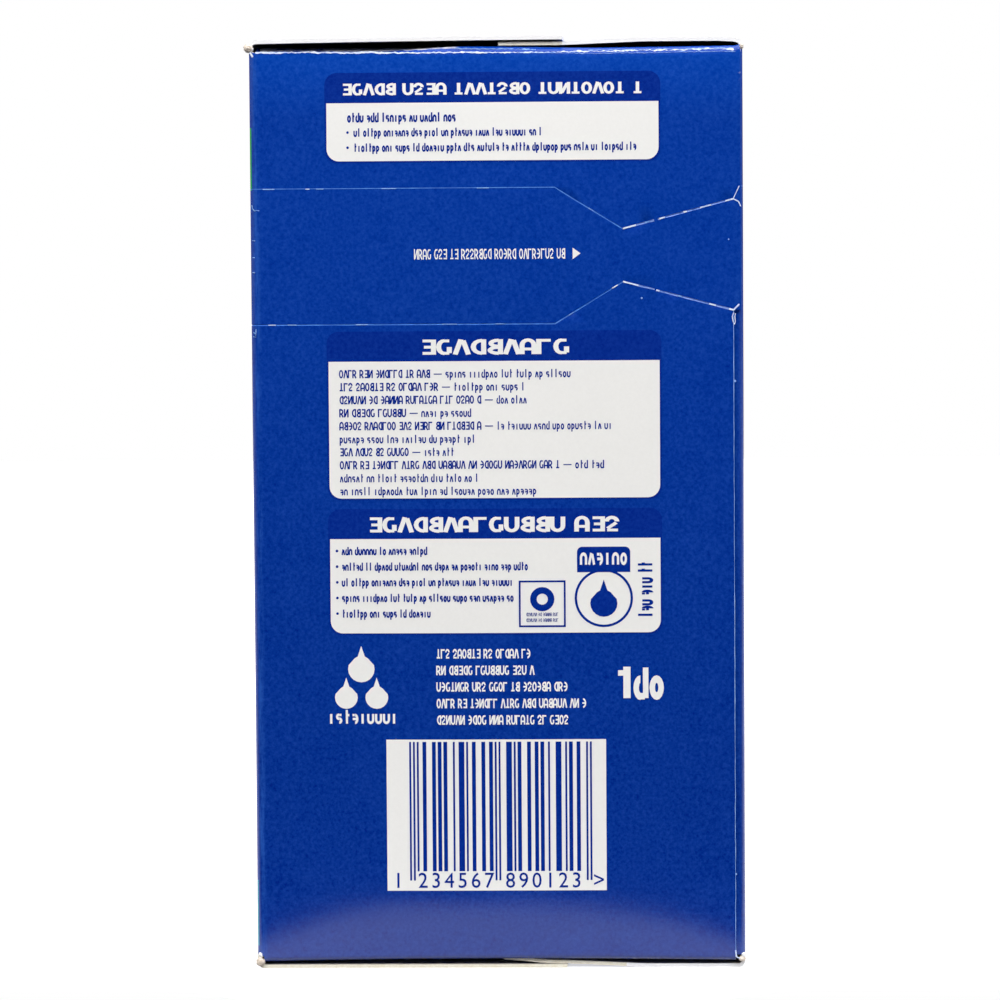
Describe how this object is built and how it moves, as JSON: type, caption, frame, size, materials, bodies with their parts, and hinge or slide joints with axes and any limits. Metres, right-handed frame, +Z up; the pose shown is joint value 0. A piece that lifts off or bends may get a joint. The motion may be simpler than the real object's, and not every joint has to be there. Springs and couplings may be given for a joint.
{
  "type": "washing powder box",
  "caption": "Sealed upright folding carton for washing powder, with glued end flaps, a lapped side seam, a tear strip with a pull tab and plain printed fields.",
  "frame": {"origin": "centre of the carton's footprint, on the surface that it stands on", "axes": "+Z up along the carton's height, +X across the printed narrow side towards the back panel, +Y from the printed narrow side into the carton"},
  "size_m": [0.0851, 0.1181, 0.1615],
  "materials": {
    "board": "deep blue print with a satin varnish",
    "white_ink": "unprinted white board under satin varnish",
    "navy_ink": "dark blue print with a satin varnish",
    "raw_board": "bare cut and torn board, cream and fibrous"
  },
  "bodies": {
    "root": {"carton": "board"}
  },
  "joints": []
}
